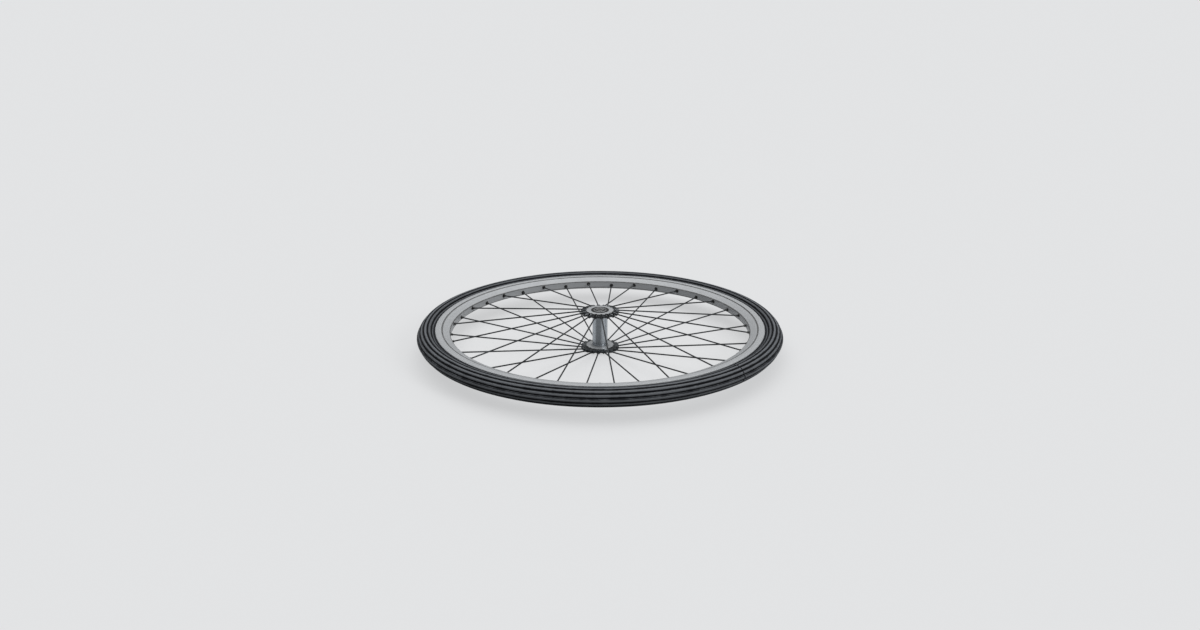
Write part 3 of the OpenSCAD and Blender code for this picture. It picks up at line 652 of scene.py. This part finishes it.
for half in (rimMesh, boxMesh):
    bmesh.ops.mirror(half, geom=half.verts[:] + half.edges[:], axis="Z", merge_dist=0.01 * mm)
    turnRound(half, shape["steps"])
    bmesh.ops.remove_doubles(half, verts=half.verts, dist=0.005 * mm)
    bmesh.ops.recalc_face_normals(half, faces=half.faces)
bmesh.ops.reverse_faces(boxMesh, faces=boxMesh.faces)   # the box is hollow: its walls face inwards
boxData = bpy.data.meshes.new("rimBox")
boxMesh.to_mesh(boxData)
boxMesh.free()
rimMesh.from_mesh(boxData)
bpy.data.meshes.remove(boxData)

# holes for the spokes, bored from the hub's side, wider ones in the tyre's bed, and one for the valve
cutterMesh = bmesh.new()


def boreHole(turn, height, first, last, radius):
    along = Vector((math.cos(turn), math.sin(turn), 0))
    place = Matrix.Translation(along * (first + last) / 2 * mm + Vector((0, 0, height * mm)))
    lay = place @ along.to_track_quat("Z", "Y").to_matrix().to_4x4()
    bmesh.ops.create_cone(cutterMesh, cap_ends=True, segments=24, radius1=radius * mm, radius2=radius * mm,
                          depth=(last - first) * mm, matrix=lay)


for hole in range(shape["holes"]):
    turn = fullTurn * (hole + 0.5) / shape["holes"]
    height = shape["holeHeight"] * (1 if hole % 2 else -1)
    boreHole(turn, height, shape["inside"] - shape["past"], shape["inside"] + shape["faceWall"] + 1,
             shape["holeRadius"])
    boreHole(turn, height, shape["well"] - shape["bedWall"] - 1, shape["well"] + 1, shape["accessRadius"])
boreHole(math.radians(shape["valveTurn"]), 0, shape["inside"] - shape["past"], shape["well"] + 1,
         shape["valveRadius"])
cutterData = bpy.data.meshes.new("rimCutter")
cutterMesh.to_mesh(cutterData)
cutterMesh.free()
cutter = bpy.data.objects.new("rimCutter", cutterData)
rim = newPiece("doubleWallRim", rimMesh, "wheel", "rim_alloy", ["rim"], sharp=28, hollow=True)
boring = rim.modifiers.new("boring", "BOOLEAN")
boring.operation = "DIFFERENCE"
boring.solver = "MANIFOLD"
boring.object = cutter
bpy.context.scene.collection.objects.link(cutter)
bored = bpy.data.meshes.new_from_object(rim.evaluated_get(bpy.context.evaluated_depsgraph_get()))
rim.modifiers.clear()
rimMesh = bmesh.new()
rimMesh.from_mesh(bored)
bmesh.ops.remove_doubles(rimMesh, verts=rimMesh.verts, dist=0.003 * mm)
bmesh.ops.dissolve_degenerate(rimMesh, edges=rimMesh.edges, dist=0.001 * mm)
rimMesh.to_mesh(bored)
rimMesh.free()
rim.data = bored
bpy.data.objects.remove(cutter)
print("rim made,", len(rim.data.polygons), "faces")


# dust caps: pressed steel, with a raised ring round the dish

capShape = {
    "bore": 8.8, "plug": 14, "under": 37.7, "seat": 39.02, "edge": 17.2, "top": 39.8, "dish": 39.25,
    "dishEdge": 13.4, "ring": 11.8, "ringHalf": 0.9, "ringTop": 39.85, "round": 0.25, "steps": 96,
}
# the ring colour is a painted highlight on the cap's raised ring
capLook = {"dark": grey(0.012, -0.05), "light": grey(0.025, -0.05), "ring": grey(0.5, -0.03), "rough": 0.33}
capSteel, tree, shader = turnedMetal("capSteel", {
    "line": 0.2, "mottle": 9, "edge": 0.3, "wear": 0.6, "dark": capLook["dark"], "light": capLook["light"],
    "wornAndLit": grey(0.28), "metal": 0.5, "rough": capLook["rough"], "bump": 0.15})
spot = useGroup(tree, wheelPlace)
# painted highlight: the raised ring is painted pale all round
offRing = maths(tree, "ABSOLUTE", maths(tree, "SUBTRACT", spot.outputs["Radius"], capShape["ring"]))
paintedGlint = ramp(tree, offRing, capShape["ringHalf"] * 0.9, capShape["ringHalf"] * 0.4, 0.0, 0.8)
bare = shader.inputs["Base Color"].links[0].from_socket
plug(tree, mixColour(tree, paintedGlint, bare, capLook["ring"]), shader.inputs["Base Color"])

for name, side, node in (("dishedCapUpper", 1, "dust_cap_upper"), ("dishedCapLower", -1, "dust_cap_lower")):
    shape = capShape
    capMesh = bmesh.new()
    corners = outline(capMesh, [(radius, side * height) for radius, height in (
        (shape["bore"], shape["under"]), (shape["plug"], shape["under"]), (shape["plug"], shape["seat"]),
        (shape["edge"], shape["seat"]), (shape["edge"], shape["top"]),
        (shape["dishEdge"] + 0.5, shape["top"]),
        (shape["dishEdge"], shape["dish"]), (shape["ring"] + shape["ringHalf"], shape["dish"]),
        (shape["ring"] + 0.3, shape["ringTop"]), (shape["ring"] - 0.3, shape["ringTop"]),
        (shape["ring"] - shape["ringHalf"], shape["dish"]), (shape["bore"], shape["dish"]),
    )], closed=True)
    roundCorners(capMesh, corners[4:11], shape["round"], 2)
    turnRound(capMesh, shape["steps"])
    bmesh.ops.remove_doubles(capMesh, verts=capMesh.verts, dist=0.002 * mm)
    newPiece(name, capMesh, "wheel", "dark_steel", [node], capSteel, sharp=40)
print("dust caps made")


# valve: a ribbed cap and a knurled nut, turned on their own line and laid on the valve's

valveShape = {"turn": 270, "tip": 278.6, "capFoot": 284.68, "nutFoot": 284.78, "seat": 286.7, "stem": 3.92}


# every second column of a turned piece is pushed in, between two heights
def cutFlutes(mesh, steps, inner, low, high, depth):
    for vert in mesh.verts:
        radius = vert.co.xy.length / mm
        column = round(math.atan2(vert.co.y, vert.co.x) / fullTurn * steps)
        if radius > inner and low < vert.co.z / mm < high and column % 2:
            vert.co.xy *= (radius - depth) / radius


def layOnValve(mesh):
    turn = math.radians(valveShape["turn"])
    lay = Vector((math.cos(turn), math.sin(turn), 0)).to_track_quat("Z", "Y").to_matrix()
    bmesh.ops.rotate(mesh, verts=mesh.verts, cent=(0, 0, 0), matrix=lay)


shape = valveShape
for name, node, slot, steps, corners, flutes in (
    ("ribbedValveCap", "valve_cap", "black_plastic", 48, (
        (0, shape["tip"]), (3.5, shape["tip"]), (4.2, shape["tip"] + 0.8), (4.28, shape["tip"] + 1.3),
        (4.5, shape["capFoot"] - 1.1), (4.6, shape["capFoot"] - 0.8), (4.6, shape["capFoot"]),
        (shape["stem"], shape["capFoot"]), (shape["stem"], shape["tip"] + 1), (0, shape["tip"] + 1),
    ), (4.0, shape["tip"] + 1.1, shape["capFoot"] - 1, 0.3)),
    ("knurledValveNut", "valve_nut", "nickel_plate", 80, (
        (shape["stem"], shape["nutFoot"]), (5.8, shape["nutFoot"]), (6.2, shape["nutFoot"] + 0.3),
        (6.4, shape["seat"] - 0.35), (6.1, shape["seat"]), (shape["stem"], shape["seat"]),
        (shape["stem"], shape["nutFoot"]),
    ), (5.9, shape["nutFoot"] + 0.2, shape["seat"] - 0.2, 0.25)),
):
    valveMesh = bmesh.new()
    outline(valveMesh, corners)
    turnRound(valveMesh, steps)
    bmesh.ops.remove_doubles(valveMesh, verts=valveMesh.verts, dist=0.002 * mm)
    cutFlutes(valveMesh, steps, *flutes)
    layOnValve(valveMesh)
    newPiece(name, valveMesh, "wheel", slot, [node], sharp=25)
print("valve cap and nut made")


# thread in each end of the axle: one ridge that winds down into the hole

threadShape = {"hole": 3.42, "crest": 3.1, "crestHalf": 0.08, "footShare": 0.4, "pitch": 1.0, "turns": 12,
               "stepsTurn": 32, "top": 39.6}
for name, side in (("threadUpper", 1), ("threadLower", -1)):
    shape = threadShape
    threadMesh = bmesh.new()
    start = shape["top"] * side
    half = shape["pitch"] * shape["footShare"]
    outline(threadMesh, [
        (shape["hole"], start + half), (shape["crest"], start + shape["crestHalf"]),
        (shape["crest"], start - shape["crestHalf"]), (shape["hole"], start - half),
    ], closed=True)
    bmesh.ops.contextual_create(threadMesh, geom=threadMesh.edges)
    steps = shape["turns"] * shape["stepsTurn"]
    section = threadMesh.verts[:] + threadMesh.edges[:] + threadMesh.faces[:]
    sink = -side * shape["pitch"] / shape["stepsTurn"] * mm
    bmesh.ops.spin(threadMesh, geom=section, cent=(0, 0, 0), axis=(0, 0, 1), dvec=(0, 0, sink),
                   angle=shape["turns"] * fullTurn, steps=steps, use_merge=False, use_duplicate=False)
    newPiece(name, threadMesh, "axle", "axle_steel", sharp=30)
print("threads made")

# cotton rim tape: red weave
tapeLook = {
    "dark": (0.16, 0.015, 0.012, 1), "light": (0.42, 0.06, 0.045, 1), "thread": 0.5, "radius": 311,
    "rough": 0.85,
}
rimTape, tree, shader = newMaterial("rimTape")
spot = useGroup(tree, wheelPlace)
threads = tapeLook["radius"] * math.pi / tapeLook["thread"]
weft = maths(tree, "SINE", maths(tree, "MULTIPLY", spot.outputs["Turn"], threads))
warp = maths(tree, "SINE", maths(tree, "MULTIPLY", spot.outputs["Height"], math.pi / tapeLook["thread"]))
weave = maths(tree, "MULTIPLY", weft, warp)
colour = mixColour(tree, ramp(tree, weave, -0.8, 0.8), tapeLook["dark"], tapeLook["light"])
plug(tree, colour, shader.inputs["Base Color"])
shader.inputs["Roughness"].default_value = tapeLook["rough"]
setBump(tree, shader, weave, 0.6, 0.1)
finishes["rim_tape"] = rimTape

# CAD pieces that keep their shape get their finish
slotOf = {part["node"]: part["material_slot"] for part in frame["record"]["subparts"]}
for name, node in nodes.items():
    node.data.materials.clear()
    node.data.materials.append(finishes[slotOf[name]])
print("finishes placed")
